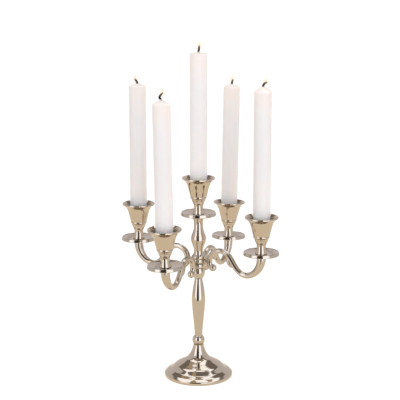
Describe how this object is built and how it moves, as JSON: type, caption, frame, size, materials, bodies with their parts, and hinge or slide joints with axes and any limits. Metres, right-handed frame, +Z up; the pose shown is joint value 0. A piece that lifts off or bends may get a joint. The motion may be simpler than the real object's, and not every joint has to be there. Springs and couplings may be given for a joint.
{
  "type": "tabletop candelabra",
  "caption": "Tabletop candelabra: stepped round foot, baluster stem, crossed S-scroll arms, drip pans, tulip cups and white candles that lift out.",
  "frame": {"origin": "centre of the foot's underside, on the surface it stands on", "axes": "+Z up along the stem; the upper crossbar lies along X and the lower crossbar along Y"},
  "size_m": [0.227, 0.2274, 0.4396],
  "materials": {
    "nickel_stem": "polished warm nickel plate on cast and turned metal",
    "nickel_arms": "polished warm nickel plate on a casting, with soft ribs",
    "nickel_pans": "polished warm nickel plate, spun",
    "nickel_cups": "polished warm nickel plate, turned",
    "zinc_steel": "zinc-plated steel fastener",
    "felt": "dark pressed felt",
    "wax": "smooth white candle wax, slightly translucent",
    "wick": "charred braided cotton"
  },
  "bodies": {
    "stand": {"foot": "nickel_stem", "felt_pad": "felt", "foot_washer": "zinc_steel", "foot_nut": "zinc_steel", "tie_rod": "zinc_steel", "knop": "nickel_stem", "lower_stem": "nickel_stem", "hub_cup": "nickel_stem", "upper_baluster": "nickel_stem", "drip_pan_center": "nickel_pans", "candle_cup_center": "nickel_cups", "cup_stud_center": "zinc_steel"},
    "lower_arms": {"lower_crossbar": "nickel_arms", "drip_pan_front": "nickel_pans", "candle_cup_front": "nickel_cups", "cup_stud_front": "zinc_steel", "drip_pan_back": "nickel_pans", "candle_cup_back": "nickel_cups", "cup_stud_back": "zinc_steel"},
    "upper_arms": {"upper_crossbar": "nickel_arms", "drip_pan_right": "nickel_pans", "candle_cup_right": "nickel_cups", "cup_stud_right": "zinc_steel", "drip_pan_left": "nickel_pans", "candle_cup_left": "nickel_cups", "cup_stud_left": "zinc_steel"},
    "candle_center": {"candle_center": "wax", "wick_center": "wick"},
    "candle_right": {"candle_right": "wax", "wick_right": "wick"},
    "candle_left": {"candle_left": "wax", "wick_left": "wick"},
    "candle_front": {"candle_front": "wax", "wick_front": "wick"},
    "candle_back": {"candle_back": "wax", "wick_back": "wick"}
  },
  "joints": [
    {"name": "lower_arms_swivel", "type": "hinge", "parent": "stand", "child": "lower_arms", "pos_m": [0, 0, 0.1517], "axis": [0, 0, 1], "range_deg": [-25, 25]},
    {"name": "upper_arms_swivel", "type": "hinge", "parent": "stand", "child": "upper_arms", "pos_m": [0, 0, 0.1582], "axis": [0, 0, 1], "range_deg": [-25, 25]},
    {"name": "candle_center_lift", "type": "slide", "parent": "stand", "child": "candle_center", "axis": [0, 0, 1], "range_m": [0, 0.03]},
    {"name": "candle_right_lift", "type": "slide", "parent": "upper_arms", "child": "candle_right", "axis": [0, 0, 1], "range_m": [0, 0.03]},
    {"name": "candle_left_lift", "type": "slide", "parent": "upper_arms", "child": "candle_left", "axis": [0, 0, 1], "range_m": [0, 0.03]},
    {"name": "candle_front_lift", "type": "slide", "parent": "lower_arms", "child": "candle_front", "axis": [0, -0.0384, 0.9993], "range_m": [0, 0.03]},
    {"name": "candle_back_lift", "type": "slide", "parent": "lower_arms", "child": "candle_back", "axis": [0, 0.0384, 0.9993], "range_m": [0, 0.03]}
  ]
}
